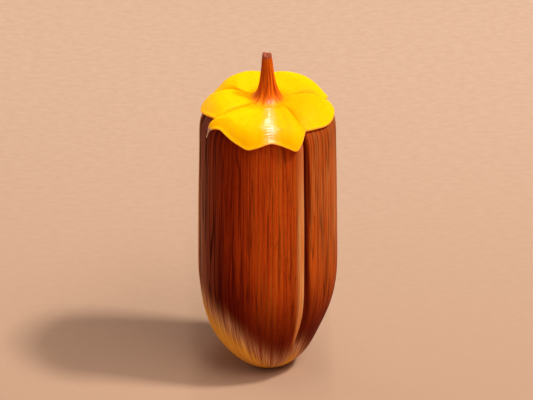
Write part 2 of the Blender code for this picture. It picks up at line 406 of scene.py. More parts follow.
@dataclass(frozen=True)
class ShellForm:
    """The shell's form: an egg-shaped base, a barrel and a rounded crown, with three seams.

    Attributes:
        belly_radius: Radius where it is widest.
        neck_radius: Radius where the crown begins.
        foot_radius: Radius of the flat spot that it stands on.
        base_height: Height of the whole egg shape that the base is cut from.
        neck_height: Where the crown begins.
        crown_height: Its highest point.
        crown_flatness: Exponent of the crown's radius, which flattens its top.
        crown_squareness: Exponent of its height, which squares its shoulder.
        seam_azimuth: Azimuth of the seam at the front right.
        segments: How many segments the seams part.
        segment_bulge: How far they swell out, as a share of the radius.
        base_lean: How far the base leans to the right.
        lean_height: Where it leans most.
        lean_spread: How far up and down it leans.
        lip: Middle and half width of the lip beside a seam, in degrees, and its height.
        groove_walls: Where a seam's left wall begins and ends, and its right, in degrees.
        groove_depth: How deep a seam is.
        seam_start: Where a seam begins and has its full depth.
        seam_end: Where it begins to fade and ends.
    """

    belly_radius: float = 11.45 * MM
    neck_radius: float = 11.2 * MM
    foot_radius: float = 2.8 * MM
    base_height: float = 19.6 * MM
    neck_height: float = 40.0 * MM
    crown_height: float = 48.2 * MM
    crown_flatness: float = 3.6
    crown_squareness: float = 5.2
    seam_azimuth: float = 33.5
    segments: int = 3
    segment_bulge: float = 0.009
    base_lean: float = -0.45 * MM
    lean_height: float = 7.0 * MM
    lean_spread: float = 4.5 * MM
    lip: tuple[float, float, float] = (-5.0, 3.1, 0.2 * MM)
    groove_walls: Span = (-1.8, 0.0, 1.6, 5.4)
    groove_depth: float = 0.7 * MM
    seam_start: tuple[float, float] = (5.5 * MM, 9.5 * MM)
    seam_end: tuple[float, float] = (45.5 * MM, 47.5 * MM)

    @property
    def belly_height(self) -> float:
        """Height of the widest ring."""
        return self.base_height * math.sqrt(1 - (self.foot_radius / self.belly_radius) ** 2)

    def base(self, steps: int) -> list[tuple[float, float]]:
        """Radius and height up the base, from the flat spot's edge to the belly."""
        turns = np.linspace(math.acos(self.foot_radius / self.belly_radius), 0, steps)
        heights = [self.belly_height - self.base_height * math.sin(turn) for turn in turns]
        return [(self.belly_radius * math.cos(turn), z) for turn, z in zip(turns, heights)]

    def barrel(self, steps: int) -> list[tuple[float, float]]:
        """Radius and height up the barrel, from the belly to the neck."""
        narrowing = self.belly_radius - self.neck_radius
        height = self.neck_height - self.belly_height
        return [
            (self.belly_radius - narrowing * share**2, self.belly_height + height * share)
            for share in np.linspace(0, 1, steps)
        ]

    def crown(self, steps: int) -> list[tuple[float, float]]:
        """Radius and height over the crown, from the neck to its middle."""
        height = self.crown_height - self.neck_height
        return [
            (
                self.neck_radius * max(math.cos(turn), 0.0) ** (2 / self.crown_flatness),
                self.neck_height + height * math.sin(turn) ** (2 / self.crown_squareness),
            )
            for turn in np.linspace(0, math.pi / 2, steps)
        ]

    def reach_table(self, steps: int = 240) -> tuple[np.ndarray, np.ndarray, np.ndarray]:
        """The distance over the crown from its middle, with the radius and height there."""
        line = np.array([*self.barrel(steps), *self.crown(steps)[1:]][::-1])
        lengths = np.hypot(*np.diff(line, axis=0).T)
        return np.concatenate([[0], np.cumsum(lengths)]), line[:, 0], line[:, 1]

    def from_seam(self, azimuth: np.ndarray) -> np.ndarray:
        """Azimuth from the nearest seam, positive to its right."""
        spacing = 360 / self.segments
        return np.mod(azimuth - self.seam_azimuth + spacing / 2, spacing) - spacing / 2

    def bulge(self, azimuth: np.ndarray) -> np.ndarray:
        """How far the segments swell out between the seams, as a share of the radius."""
        return -self.segment_bulge * np.cos(np.radians(self.segments * self.from_seam(azimuth)))

    def lean(self, z: np.ndarray) -> np.ndarray:
        """How far the base leans to the right at a height."""
        away = 1 - np.exp(-((z / self.lean_spread) ** 2))
        return self.base_lean * away * np.exp(-(((z - self.lean_height) / self.lean_spread) ** 2))

    def over_crown(self, azimuth: np.ndarray, reach: np.ndarray, height: np.ndarray) -> np.ndarray:
        """Points off the crown.

        Args:
            azimuth: In degrees.
            reach: Distance over the crown from its middle, in metres.
            height: Height off the shell, in metres.

        Returns:
            One point a row.
        """
        table, radii, heights = self.reach_table()
        step = 0.05 * MM
        along_r = np.interp(reach + step, table, radii) - np.interp(reach - step, table, radii)
        along_z = np.interp(reach + step, table, heights) - np.interp(reach - step, table, heights)
        length = np.hypot(along_r, along_z)
        radius = np.interp(reach, table, radii) * (1 + self.bulge(azimuth))
        radius = radius - height * along_z / length
        z = np.interp(reach, table, heights) + height * along_r / length
        return round_points(azimuth, radius, z)


class Workshop:
    """The steps by which every piece is modelled."""

    @staticmethod
    def face_out() -> None:
        """Turns every face of the piece in edit mode out, and leaves edit mode."""
        bpy.ops.mesh.select_all(action="SELECT")
        bpy.ops.mesh.normals_make_consistent(inside=False)
        bpy.ops.object.mode_set(mode="OBJECT")

    @staticmethod
    def ring_stack(name: str, outline: Profile, sides: int) -> bpy.types.Object:
        """Models a closed round solid, a ring at a time.

        Args:
            name: The piece's name.
            outline: Radius and height of each ring, from the lowest up.
            sides: How many points a ring has.

        Returns:
            The piece, in object mode.
        """
        bpy.ops.object.select_all(action="DESELECT")
        radius, z = outline[0]
        bpy.ops.mesh.primitive_circle_add(
            vertices=sides, radius=radius, fill_type="NGON", location=(0, 0, 0)
        )
        piece = bpy.context.object
        piece.name = piece.data.name = name
        bpy.ops.object.mode_set(mode="EDIT")
        bpy.ops.mesh.select_all(action="SELECT")
        bpy.ops.transform.translate(value=(0, 0, z))
        for new_radius, new_z in outline[1:]:
            bpy.ops.mesh.extrude_region_move(TRANSFORM_OT_translate={"value": (0, 0, new_z - z)})
            scale = new_radius / radius
            bpy.ops.transform.resize(value=(scale, scale, 1), center_override=(0, 0, new_z))
            radius, z = new_radius, new_z
        Workshop.face_out()
        return piece

    @staticmethod
    def slab(name: str, across: int, along: int) -> bpy.types.Object:
        """Models a closed slab one unit wide, long and thick, with its low corner at the origin.

        Args:
            name: The piece's name.
            across: How many faces it has along X.
            along: How many faces it has along Y.

        Returns:
            The piece, in object mode.
        """
        bpy.ops.object.select_all(action="DESELECT")
        bpy.ops.mesh.primitive_grid_add(
            x_subdivisions=across, y_subdivisions=along, size=1, location=(0, 0, 0)
        )
        piece = bpy.context.object
        piece.name = piece.data.name = name
        bpy.ops.object.mode_set(mode="EDIT")
        bpy.ops.mesh.select_all(action="SELECT")
        bpy.ops.transform.translate(value=(0.5, 0.5, 0))
        bpy.ops.mesh.extrude_region_move(TRANSFORM_OT_translate={"value": (0, 0, 1)})
        Workshop.face_out()
        return piece

    @staticmethod
    def subdivide(piece: bpy.types.Object, levels: int) -> None:
        """Rounds a piece with a Subdivision Surface modifier, and applies it."""
        bpy.context.view_layer.objects.active = piece
        rounding = piece.modifiers.new("rounding", "SUBSURF")
        rounding.levels = rounding.render_levels = levels
        bpy.ops.object.modifier_apply(modifier=rounding.name)

    @staticmethod
    def points(piece: bpy.types.Object) -> np.ndarray:
        """A piece's points, one a row."""
        flat = np.empty(len(piece.data.vertices) * 3)
        piece.data.vertices.foreach_get("co", flat)
        return flat.reshape(-1, 3)

    @staticmethod
    def carve(piece: bpy.types.Object, points: np.ndarray) -> None:
        """Moves a piece's points, and shades it smooth with its faces out."""
        piece.data.vertices.foreach_set("co", np.ascontiguousarray(points).ravel())
        piece.data.update()
        bpy.ops.object.select_all(action="DESELECT")
        piece.select_set(True)
        bpy.context.view_layer.objects.active = piece
        bpy.ops.object.mode_set(mode="EDIT")
        Workshop.face_out()
        bpy.ops.object.shade_smooth()

    @staticmethod
    def deliver(piece: bpy.types.Object, finish: bpy.types.Material, slot: str, node: str) -> None:
        """Dresses a piece, and puts it in place of its CAD node.

        Args:
            piece: The finished piece.
            finish: Its material.
            slot: The record's material slot, which is not used.
            node: The CAD node that it replaces.
        """
        piece.data.materials.clear()
        piece.data.materials.append(finish)
        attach(piece, "root")
        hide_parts(node)
        LOG.info("%s: %d points for %s", piece.name, len(piece.data.vertices), node)


class ShellFinish:
    """Streaked nut wood that turns gold towards the tip.

    A side's four azimuths are where it begins, is full, begins to fade and ends.

    Attributes:
        GOLD_EDGE: Azimuth and height of the gold's upper edge round the nut, in millimetres.
        PAINTED_LIGHT_AZIMUTH: Azimuth of the middle of the side that painted light makes brighter.
        FURROWED: Its grizzled, furrowed side, with azimuths to the left.
        DUST_AND_RIM_LIGHT: Its dusty left edge, painted paler as rim light, with azimuths to the
            left.
        TAWNY: Its tawny side.
        PALE: Its pale side.
        DARK: The side where its base is darkest.
        RIDGE_FOOT: Where the painted shade towards the base is weaker, beside the ridge's foot.
    """

    GOLD_EDGE: Profile = (
        (-180, 9.5), (-150, 8.0), (-120, 11.5), (-96, 16.5), (-80, 16.0), (-68, 15.0),
        (-53, 14.0), (-40, 12.8), (-28, 11.2), (-20, 9.3), (-8, 7.0), (5, 5.2), (16, 4.6),
        (28, 6.0), (31, 7.6), (36, 7.6), (42, 6.6), (46, 5.6), (60, 4.3), (80, 4.0),
        (110, 5.4), (145, 7.3), (180, 9.5),
    )
    PAINTED_LIGHT_AZIMUTH = 45.0
    FURROWED: Span = (36.0, 54.0, 110.0, 150.0)
    DUST_AND_RIM_LIGHT: Span = (54.0, 80.0, 120.0, 150.0)
    TAWNY: Span = (34.0, 46.0, 90.0, 110.0)
    PALE: Span = (58.0, 82.0, 105.0, 130.0)
    DARK: Span = (34.0, 38.0, 105.0, 130.0)
    RIDGE_FOOT: Span = (16.0, 27.0, 34.0, 38.0)

    def __init__(self, form: ShellForm) -> None:
        """Draws the strands of the grain out up the shell.

        Args:
            form: The shell's form, for the places of its seams.
        """
        self.form = form
        self.bench = Bench("shell_wood")
        at = Bearings(self.bench)
        self.azimuth, self.z = at.azimuth(), at.z
        self.seam = (self.azimuth - form.seam_azimuth).wrapped(60.0, -60.0)
        self.above_gold = self.z - self.gold_height()
        self.broad = at.streaks(4.0, 0.03)
        self.bands = at.streaks(15.0, 0.04, 2.0)
        self.fibres = at.streaks(42.0, 0.07, 3.0, 0.6)
        self.pores = at.streaks(70.0, 0.6)
        self.cords = at.streaks(9.5, 0.03).near(0.5, 0.0, 0.065)
        self.lines = at.streaks(14.0, 0.035).near(0.5, 0.0, 0.05)
        self.hairs = at.streaks(27.0, 0.05).near(0.5, 0.0, 0.06)

    def make(self) -> bpy.types.Material:
        """Builds the material."""
        wood = self.bench.layered(
            self.streaked(), *self.sides_and_painted_light(), self.ridge(), self.gold(), self.groove()
        )
        rough = 0.5 + self.fibres * 0.2
        self.bench.feed(Base_Color=wood, Roughness=rough, Specular_IOR_Level=0.02)
        self.bench.bump(self.fibres * 0.6 + self.pores * 0.4, 0.05 * MM)
        return self.bench.material

    def gold_height(self) -> Signal:
        """Height of the gold's edge, in millimetres."""
        highest = max(height for _, height in self.GOLD_EDGE)
        stops = [((turn + 180) / 360, height / highest) for turn, height in self.GOLD_EDGE]
        settings = {"stops": stops, "ramp_interpolation": "EASE"}
        turn = self.azimuth / 360 + 0.5
        return self.bench.node("ShaderNodeValToRGB", settings, {"Fac": turn}) * highest

    def streaked(self) -> Signal:
        """The brown wood's streaks, with painted light that makes its front right side brighter."""
        tones = (Tone.MAHOGANY_DARK, Tone.MAHOGANY, Tone.CHESTNUT, Tone.RUSSET)
        stops = tuple(zip((0.34, 0.47, 0.56, 0.68), tones))
        # painted light: the wood is lighter on the side where the lamps fall
        painted_light = (self.azimuth - self.PAINTED_LIGHT_AZIMUTH).wrapped(180.0, -180.0).near(0.0, 48.0, 90.0)
        light = self.broad * 0.14 + self.bands * 0.12 + self.fibres * 0.34
        light = light + painted_light * 0.115 + 0.168
        return self.bench.layered(
            self.bench.node("ShaderNodeValToRGB", {"stops": stops}, {"Fac": light}),
            (self.fibres.rise(0.55, 0.66) * 0.35, Tone.MAHOGANY_DARK),
            (self.hairs * 0.3, Tone.MAHOGANY_DARK),
            (self.lines * 0.55, Tone.MAHOGANY_DARK),
            (self.pores.rise(0.58, 0.72) * 0.35, Tone.MAHOGANY_DARK),
        )

    def sides_and_painted_light(self) -> tuple[Layer, ...]:
        """What differs from side to side, with painted shade and painted rim light among the wood's
        own colours.
        """
        azimuth, z, fibres = self.azimuth, self.z, self.fibres
        beside = azimuth.within(self.RIDGE_FOOT)
        # painted shade, darker towards the base and weaker beside the ridge's foot
        shaded = (1 - self.above_gold.rise(0.0, 18.0)) * (0.88 - beside * 0.42)
        tufts = fibres.rise(0.4, 0.6) * 0.6 + 0.4
        # dusty colour with painted rim light, paler down the left edge
        dust_and_rim_light = (-1 * azimuth).within(self.DUST_AND_RIM_LIGHT) * (1 - z.rise(26.0, 46.0) * 0.65) * tufts
        furrowed = (-1 * azimuth).within(self.FURROWED)
        grizzled = furrowed * (1 - self.cords) * (1 - z.rise(38.0, 45.0) * 0.6)
        tawny = azimuth.within(self.TAWNY)
        high = z.rise(18.0, 30.0)
        dark = azimuth.within(self.DARK) * (1 - self.above_gold.rise(6.0, 15.0))
        return (
            (shaded, Tone.SHADED),
            (dust_and_rim_light * 0.5, Tone.GOLD_DUSTY),
            (grizzled * 0.36, Tone.GRIZZLED),
            (furrowed * self.cords * 0.85, Tone.FURROW),
            (tawny * z.rise(8.0, 26.0) * 0.36, Tone.TAWNY),
            (tawny * (self.hairs * 0.3 + self.lines * 0.35), Tone.MAHOGANY_DARK),
            (tawny * fibres.rise(0.5, 0.6) * high * 0.2, Tone.RIDGE),
            (azimuth.within(self.PALE) * high * tufts * 0.24, Tone.RIDGE),
            (dark * 0.42, Tone.SHADED),
            # painted shade under the petals' rims, darker towards the crown
            (z.rise(40.5, 46.0) * 0.25, Tone.MAHOGANY_DARK),
            # painted shade on the front panel left of the ridge, where the lamps fall strongest
            (azimuth.near(20.0, 3.0, 14.0) * 0.16, Tone.GROOVE),
        )

    def ridge_right(self) -> Signal:
        """Where a ridge's right edge is, in degrees from the seam."""
        lip_at, lip_half, _ = self.form.lip
        return lip_at + lip_half + (self.z.rise(9.0, 24.0) - 1) * 0.2

    def ridge(self) -> Layer:
        """The pale ridge beside each seam: worn paler wood, with a painted highlight along it."""
        lip_at, lip_half, _ = self.form.lip
        left = lip_at - lip_half + (1 - self.z.rise(9.0, 26.0)) * 0.7
        share = (self.seam - left).rise(-1.5, 1.7)
        share = share * (1 - (self.seam - self.ridge_right()).rise(-0.2, 0.9))
        share = share * self.z.rise(5.0, 9.0) * (1 - self.z.rise(28.0, 46.0) * 0.6)
        # pale worn wood and a painted highlight along the ridge
        return share, self.bench.mix(self.fibres.rise(0.42, 0.62) * 0.7, Tone.RIDGE, Tone.RUSSET)

    def gold(self) -> Layer:
        """The golden tip, which frays into the wood above it."""
        inside = -1 * self.above_gold
        frayed = inside + (self.fibres - 0.5) * 7.0 + (self.bands - 0.5) * 3.0
        veins = self.fibres.rise(0.48, 0.57) * 0.8 + self.hairs * 0.4 + self.lines * 0.5
        veins = veins * (1 - inside.rise(1.5, 7.0) * 0.88)
        tone = self.bench.layered(
            Tone.GOLD,
            (self.bands.rise(0.35, 0.65), Tone.GOLD_DEEP),
            ((1 - inside.rise(0.5, 5.5)) * 0.85, Tone.GOLD_DUSTY),
            (1 - frayed.rise(-2.0, 2.5), Tone.TAN_DEEP),
            (veins.least(1.0) * 0.85, Tone.MAHOGANY),
        )
        return frayed.rise(-3.4, 2.4), tone

    def groove(self) -> Layer:
        """The groove along each seam, darkened with painted shade."""
        _, _, floor_right, wall_top = self.form.groove_walls
        wider = (1 - self.z.rise(10.0, 26.0)) * 1.2
        share = (self.seam - self.ridge_right()).rise(0.2, 1.4)
        share = share * (1 - (self.seam - wider).rise(floor_right, wall_top))
        share = share * self.z.rise(6.4, 8.6) * (self.z.rise(12.0, 24.0) * 0.55 + 0.45)
        return share, Tone.GROOVE


@dataclass
class WoodyShell:
    """The woody shell, from its flat spot to its crown.

    Attributes:
        form: Its form.
        sides: Points a ring has before it is rounded.
        crowding: How much a ring's points draw together at the seams, from 0 to 1.
        coarse: Broad ripples that run up the shell.
        coarse_depth: How deep they are.
        fine: Fine fibres that run up the shell.
        fine_depth: How deep they are.
        drift: How far the ripples wander, as a share of the way round.
    """

    form: ShellForm
    sides: int = 108
    crowding: float = 0.45
    coarse: Grain = Grain(around=56, up=5, seed=11)
    coarse_depth: float = 0.035 * MM
    fine: Grain = Grain(around=170, up=9, seed=12)
    fine_depth: float = 0.014 * MM
    drift: float = 0.004

    def build(self) -> None:
        """Models, carves and delivers the shell."""
        form = self.form
        foot = form.foot_radius
        outline = [(foot * share, 0.0) for share in (0.4, 0.8)]
        outline += [*form.base(14), *form.barrel(9)[1:], *form.crown(16)[1:-1]]
        piece = Workshop.ring_stack("woody_shell", outline, self.sides)
        Workshop.subdivide(piece, 2)
        Workshop.carve(piece, self.carved(Workshop.points(piece)))
        Workshop.deliver(piece, ShellFinish(form).make(), "shell", "nut_shell")

    def carved(self, points: np.ndarray) -> np.ndarray:
        """Where the points of the round shell move.

        Args:
            points: The round shell's points.

        Returns:
            The points with seams, fibres, bulging segments and a leaning base.
        """
        form = self.form
        x, y, z = points.T
        radius = np.hypot(x, y)
        azimuth = np.degrees(np.arctan2(x, -y))
        crowd = np.sin(np.radians(form.segments * form.from_seam(azimuth)))
        azimuth = azimuth - self.crowding * np.degrees(crowd) / form.segments
        swell = smooth_step(0, form.belly_height, z) * form.bulge(azimuth)
        on_side = smooth_step(form.foot_radius, form.foot_radius + 2 * MM, radius)
        relief = self.seams(azimuth, z) + self.fibres(azimuth, z)
        radius = radius * (1 + swell) + relief * on_side
        return round_points(azimuth, radius, z, form.lean(z))

    def seams(self, azimuth: np.ndarray, z: np.ndarray) -> np.ndarray:
        """Height of the seams' lips, less the depth of their grooves."""
        form = self.form
        lip_at, lip_half, lip_height = form.lip
        down, floor_left, floor_right, up = form.groove_walls
        away = form.from_seam(azimuth)
        lip = np.exp(-(((away - lip_at) / lip_half) ** 4))
        groove = smooth_step(down, floor_left, away) * (1 - smooth_step(floor_right, up, away))
        strength = smooth_step(*form.seam_start, z) * (1 - smooth_step(*form.seam_end, z))
        return strength * (lip_height * lip - form.groove_depth * groove)

    def fibres(self, azimuth: np.ndarray, z: np.ndarray) -> np.ndarray:
        """Height of the ripples and fibres that run up the shell."""
        turn, rise = azimuth / 360, z / self.form.crown_height
        drift = self.drift * self.coarse(turn * 0.5, rise)
        ripples = self.coarse_depth * self.coarse(turn + drift, rise)
        return ripples + self.fine_depth * self.fine(turn, rise)


@dataclass(frozen=True)
class PetalFinish:
    """Waxy yellow petal, orange at its root, with a brownish rim; painted orange shade in its
    creases, and painted light, shade and highlight where the lamps fall.
    """

    def make(self) -> bpy.types.Material:
        """Builds the material, which reads how far across and along a petal each point is."""
        bench = Bench("petal_wax")
        across, along, _ = bench.parts(bench.attribute("petal_place"))
        fold, tail, crest = bench.parts(bench.attribute("petal_marks"))
        veins = bench.noise(bench.joined(across * 34.0, along * 1.6, 0.0), 3.0, 0.6)
        cloud = bench.noise(bench.joined(across * 3.0, along * 2.5, 4.0), 2.0, 0.5)
        threads = bench.noise(bench.joined(across * 15.0, along * 0.9, 8.0), 1.0, 0.5)
        at = Bearings(bench)
        front = -1 * at.back
        # painted shade: deeper orange on the side that the key lamp lights
        lamp_side_shade = (at.right * 0.77 + front * 0.64 + (cloud - 0.5) * 0.4).rise(0.1, 0.95)
        # painted shade: orange in the creases between petals
        crease_shade = 1 - (across.least(1 - across) + (veins - 0.5) * 0.04).rise(0.0, 0.11)
        root = 1 - (along + (veins - 0.5) * 0.2).rise(0.05, 0.18)
        # painted light on the front petal's left lobe, which turns away from the lamps
        front_left = front.rise(0.45, 0.8) * (-1 * at.right).rise(0.12, 0.5)
        # painted shade on the front petal's right corner, which faces the key lamp
        front_right = front.rise(0.78, 0.92) * at.right.rise(0.15, 0.4) * along.rise(0.6, 0.95)
        broken = veins.rise(0.35, 0.6) * 0.5 + 0.5
        faded = (tail + (veins - 0.5) * 0.5).rise(0.05, 0.5)
        tone = bench.layered(
            Tone.PETAL,
            (lamp_side_shade, Tone.PETAL_WARM),
            (veins.rise(0.48, 0.66) * 0.5, Tone.PETAL_WARM),
            (threads.near(0.5, 0.0, 0.05) * 0.17, Tone.PETAL_ORANGE),
            (crease_shade * 0.58, Tone.PETAL_ORANGE),
            (root * 0.6, Tone.PETAL_ORANGE),
            # painted light, paler towards the rim where the petals bend away from the lamps
            (along.rise(0.45, 0.95) * 0.35, Tone.PETAL_LIGHT),
            (front_left * (along.rise(0.3, 0.9) * 0.4 + 0.1), Tone.PETAL_BRIGHT),
            (front_right * 0.5, Tone.PETAL_WARM),
            (fold * (crest * 0.44 + 0.06) * broken, Tone.PETAL_SHEEN),
            (fold**4 * crest * broken * 0.45, Tone.PETAL_GLINT),
            (along.rise(0.962, 0.986) * 0.8, Tone.PETAL_RIM),
            (faded * 0.9, Tone.PETAL_TAIL),
        )
        bench.feed(
            Base_Color=tone,
            Roughness=0.5 + veins * 0.12,
            Specular_IOR_Level=0.03,
            Subsurface_Weight=0.5,
            Subsurface_Radius=(1.0, 0.42, 0.02),
            Subsurface_Scale=1.4 * MM,
            Emission_Color=bench.mix(faded, Tone.PETAL_GLOW, Tone.UNLIT),
            Emission_Strength=PETAL_GLOW_STRENGTH,
            Coat_Weight=fold * (crest * 0.65 + 0.35),
            Coat_Roughness=0.12,
            Coat_IOR=3.0,
        )
        bench.bump(veins, 0.03 * MM)
        return bench.material


@dataclass(frozen=True)
class Petal:
    """One petal, an arched sheet that lies over the crown and hangs over its shoulder.

    Attributes:
        name: The piece's name.
        node: The CAD node that it stands for.
        left: Its left edge, from root to rim.
        right: Its right edge, from root to rim.
        rim: Its rim, from its left edge to its right.
        arch: How far its middle stands off the shell, in millimetres.
        faces: How many faces it has across and along before it is rounded.
        ripple: The azimuth of a rippled fold down its middle, if it has one.
        seed: The seed of its veins and waves.
        seat: How far it lies off the shell.
        edge: How thick its edge is.
        puff: How much thicker its middle is.
        overlap: How far it goes past each side, as a share of its width.
        form: The shell that it lies on.
    """

    name: str
    node: str
    left: Line
    right: Line
    rim: Line
    arch: float
    faces: tuple[int, int] = (26, 18)
    ripple: float | None = None
    seed: int = 20
    seat: float = 0.16 * MM
    edge: float = 0.6 * MM
    puff: float = 0.42 * MM
    overlap: float = 0.012
    form: ShellForm = ShellForm()

    @staticmethod
    def through(points: Line, share: np.ndarray) -> np.ndarray:
        """Points along the smooth curve through the given points, at shares of its way."""
        line = np.array(points, float)
        line = np.vstack([2 * line[0] - line[1], line, 2 * line[-1] - line[-2]])
        spans = len(points) - 1
        place = np.clip(share, 0, 1) * spans
        index = np.minimum(place.astype(int), spans - 1)
        t = (place - index)[:, None]
        a, b, c, d = (line[index + step] for step in range(4))
        bend = (2 * a - 5 * b + 4 * c - d) * t**2 + (3 * b - a - 3 * c + d) * t**3
        return b + ((c - a) * t + bend) / 2

    def within(self, u: np.ndarray, v: np.ndarray) -> np.ndarray:
        """Azimuth, reach and lift at shares across and along the petal, blended from its edges."""
        left, right, rim = (np.array(line, float) for line in (self.left, self.right, self.rim))
        root = [left[0], right[0]]
        across, along = u[:, None], v[:, None]
        sides = (1 - across) * self.through(left, v) + across * self.through(right, v)
        ends = (1 - along) * self.through(root, u) + along * self.through(rim, u)
        low = (1 - across) * left[0] + across * right[0]
        high = (1 - across) * rim[0] + across * rim[-1]
        return sides + ends - (1 - along) * low - along * high

    def bent(self, plate: np.ndarray) -> np.ndarray:
        """Where the points of the flat unit plate move.

        Args:
            plate: Shares across the petal, along it, and through its thickness.

        Returns:
            The points of the petal on the crown.
        """
        across, v, thick = plate.T
        u = (across - 0.5) * (1 + 2 * self.overlap) + 0.5
        azimuth, reach, lift = self.within(u, v).T
        inside = np.clip(4 * u * (1 - u), 0, 1) ** 0.55
        rise = smooth_step(0.05, 0.5, v) * (1 - smooth_step(0.6, 1, v))
        swell = rise * inside
        veins = Grain(30, 3, self.seed)(u * 0.8, v) * 0.02 * inside * smooth_step(0.1, 0.4, v)
        waves = Grain(6, 2, self.seed + 1)(u * 0.6, v) * 0.03 * smooth_step(0.3, 0.9, v) * inside
        curl = 0.12 * smooth_step(0.86, 1.0, v) ** 2 * inside
        tent = 0.4 * np.exp((2.0 - reach) / 1.35)
        height = self.seat + (lift + self.arch * swell + waves + curl) * MM
        fold, tail, crest = self.marks(azimuth, reach, v)
        ripples = (0.16 - 0.125 * v) * fold * crest
        thin = 0.5 * (1 - smooth_step(0, 0.2, v))
        body = self.edge * (1 - 0.7 * tail - thin) + self.puff * swell
        height = height + thick * (body + (veins + tent + ripples) * MM)
        return self.form.over_crown(azimuth, reach * MM, height)

    def marks(self, azimuth: Any, reach: Any, v: Any) -> tuple[Any, Any, Any]:
        """How much of the fold, of the thin tail and of a ripple's crest there is, from 0 to 1."""
        if self.ripple is None:
            return (np.zeros_like(v),) * 3
        aside = np.radians(azimuth - self.ripple) * reach / (0.5 + 0.03 * reach)
        fold = np.exp(-(aside**2)) * smooth_step(0.03, 0.12, v)
        tail = smooth_step(10.5, 12.4, reach) * (1 - smooth_step(-57, -52, azimuth))
        tilt = 0.012 * (azimuth - self.ripple)
        crest = 0.5 + 0.5 * np.sin(2 * math.pi * (9.2 * v + 7.2 * v * v) + tilt)
        return fold, tail, crest

    def build(self, finish: bpy.types.Material) -> None:
        """Models, bends and delivers the petal.

        Args:
            finish: The petals' material.
        """
        piece = Workshop.slab(self.name, *self.faces)
        Workshop.subdivide(piece, 2)
        plate = Workshop.points(piece)
        u, v, _ = plate.T
        azimuth, reach, _ = self.within(u, v).T
        marks = np.stack(self.marks(azimuth, reach, v), axis=1)
        for name, values in (("petal_place", plate), ("petal_marks", marks)):
            place = piece.data.attributes.new(name, "FLOAT_VECTOR", "POINT")
            place.data.foreach_set("vector", np.ascontiguousarray(values).ravel())
        Workshop.carve(piece, self.bent(plate))
        Workshop.deliver(piece, finish, "petal", self.node)


@dataclass(frozen=True)
class PetalCap:
    """The five petals round the stalk, and the creases between them from the root out."""

    front_right: Line = (
        (43, 2.0, 0), (40, 4.6, 0), (36, 6.2, 0), (34, 8.0, 0), (34, 9.3, 0), (36, 10.5, 0),
    )
    right_back: Line = (
        (98, 2.0, 0), (101, 4.5, 0.1), (102, 6.2, 0.1), (100, 7.8, 0), (100, 9.3, 0),
    )
    back: Line = (
        (180, 2.0, 0), (180, 4.8, 0.3), (180, 6.7, 0.6), (180, 8.6, 0.4), (180, 10.1, 0.1),
    )
    left_back: Line = (
        (251, 2.0, 0), (246, 4.6, 0.1), (243, 6.1, 0.1), (243, 7.8, 0), (241, 9.7, 0),
    )
    front_left: Line = (
        (307, 2.0, 0), (307, 5.2, 0), (306, 7.1, 0), (304, 8.6, 0), (302, 9.8, 0),
    )

    @staticmethod
    def rim(left: Line, right: Line, between: Profile) -> Line:
        """A petal's rim, from the end of its left edge to the end of its right edge."""
        return (left[-1], *((azimuth, reach, 0) for azimuth, reach in between), right[-1])

    def front(self) -> Petal:
        """The front petal, the widest, with two points and a long thin tail at its left."""
        left = [(azimuth - 360, reach, lift) for azimuth, reach, lift in self.front_left]
        left += [(-59.6, 10.5, 0), (-60.4, 11.3, 0), (-61.2, 12.2, 0), (-62.0, 13.1, 0)]
        between = (
            (-60.8, 12.4), (-58.6, 11.7), (-54, 11.1), (-46, 10.8), (-39, 11.1), (-31, 11.6),
            (-23, 12.1), (-16, 12.5), (-8, 12.1), (2, 11.5), (10, 11.8), (17, 12.4), (24, 13.0),
            (29, 12.1), (33, 11.1),
        )
        return Petal(
            "front_petal", "petal_front", left, self.front_right,
            self.rim(left, self.front_right, between), 0.5, (40, 36), ripple=2.5, seed=21,
        )

    def others(self) -> list[Petal]:
        """The four petals beside and behind the front one."""
        plans = (
            ("right", self.front_right, self.right_back, 0.4,
             ((49, 10.8), (60, 11.1), (70, 11.1), (80, 10.9), (90, 10.6), (96, 10.1))),
            ("back_right", self.right_back, self.back, 0.85,
             ((108, 10.2), (122, 10.8), (140, 11.1), (158, 11.0), (170, 10.6))),
            ("back_left", self.back, self.left_back, 0.85,
             ((189, 10.6), (200, 11.0), (213, 11.2), (226, 11.1), (235, 10.5))),
            ("left", self.left_back, self.front_left, 0.4,
             ((249, 10.6), (260, 11.0), (270, 11.1), (280, 10.7), (290, 10.2), (297, 9.9))),
        )
        return [
            Petal(
                f"{side}_petal", f"petal_{side}", left, right,
                self.rim(left, right, between), arch, seed=30 + 5 * number,
            )
            for number, (side, left, right, arch, between) in enumerate(plans)
        ]

    def build(self) -> None:
        """Builds all five petals."""
        finish = PetalFinish().make()
        for petal in (self.front(), *self.others()):
            petal.build(finish)


